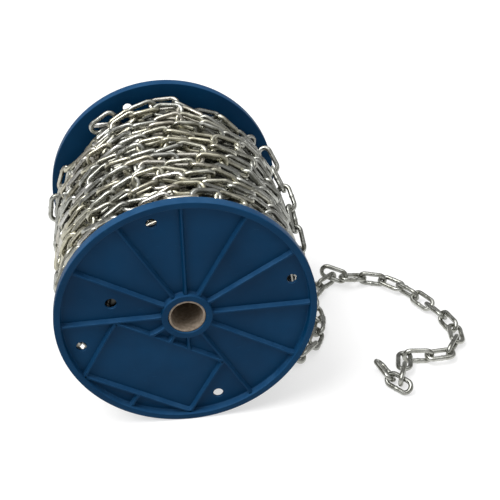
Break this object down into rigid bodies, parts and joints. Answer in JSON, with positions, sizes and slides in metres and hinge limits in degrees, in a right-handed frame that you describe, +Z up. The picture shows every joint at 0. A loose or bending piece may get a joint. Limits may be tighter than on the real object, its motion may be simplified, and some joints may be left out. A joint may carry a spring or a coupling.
{
  "type": "chain reel",
  "caption": "Moulded plastic reel on a cardboard tube, wound full of zinc-plated steel link chain, with the chain's loose end hanging off it and lying on the floor beside it.",
  "frame": {"origin": "bottom centre of the whole object's box, on the floor that the two flange rims and the loose chain rest on", "axes": "+Y along the reel's axis from the front flange to the back one; +X towards the side where the loose chain lies; +Z up"},
  "size_m": [0.3422, 0.209, 0.1947],
  "materials": {
    "reel_plastic": "moulded dark blue, satin",
    "tube_card": "plain wound card",
    "chain_zinc": "bright zinc plating on round steel wire"
  },
  "bodies": {
    "root": {"flange_front": "reel_plastic", "flange_back": "reel_plastic", "core_tube": "tube_card", "wound_chain": "chain_zinc", "loose_link_01": "chain_zinc", "loose_link_02": "chain_zinc", "loose_link_03": "chain_zinc", "loose_link_04": "chain_zinc", "loose_link_05": "chain_zinc", "loose_link_06": "chain_zinc", "loose_link_07": "chain_zinc", "loose_link_08": "chain_zinc", "loose_link_09": "chain_zinc", "loose_link_10": "chain_zinc", "loose_link_11": "chain_zinc", "loose_link_12": "chain_zinc", "loose_link_13": "chain_zinc", "loose_link_14": "chain_zinc", "loose_link_15": "chain_zinc", "loose_link_16": "chain_zinc", "loose_link_17": "chain_zinc", "loose_link_18": "chain_zinc", "loose_link_19": "chain_zinc", "loose_link_20": "chain_zinc", "loose_link_21": "chain_zinc", "loose_link_22": "chain_zinc", "loose_link_23": "chain_zinc", "loose_link_24": "chain_zinc", "loose_link_25": "chain_zinc", "loose_link_26": "chain_zinc", "loose_link_27": "chain_zinc", "loose_link_28": "chain_zinc", "loose_link_29": "chain_zinc", "loose_link_30": "chain_zinc", "loose_link_31": "chain_zinc", "loose_link_32": "chain_zinc", "loose_link_33": "chain_zinc", "slack_link": "chain_zinc"}
  },
  "joints": []
}
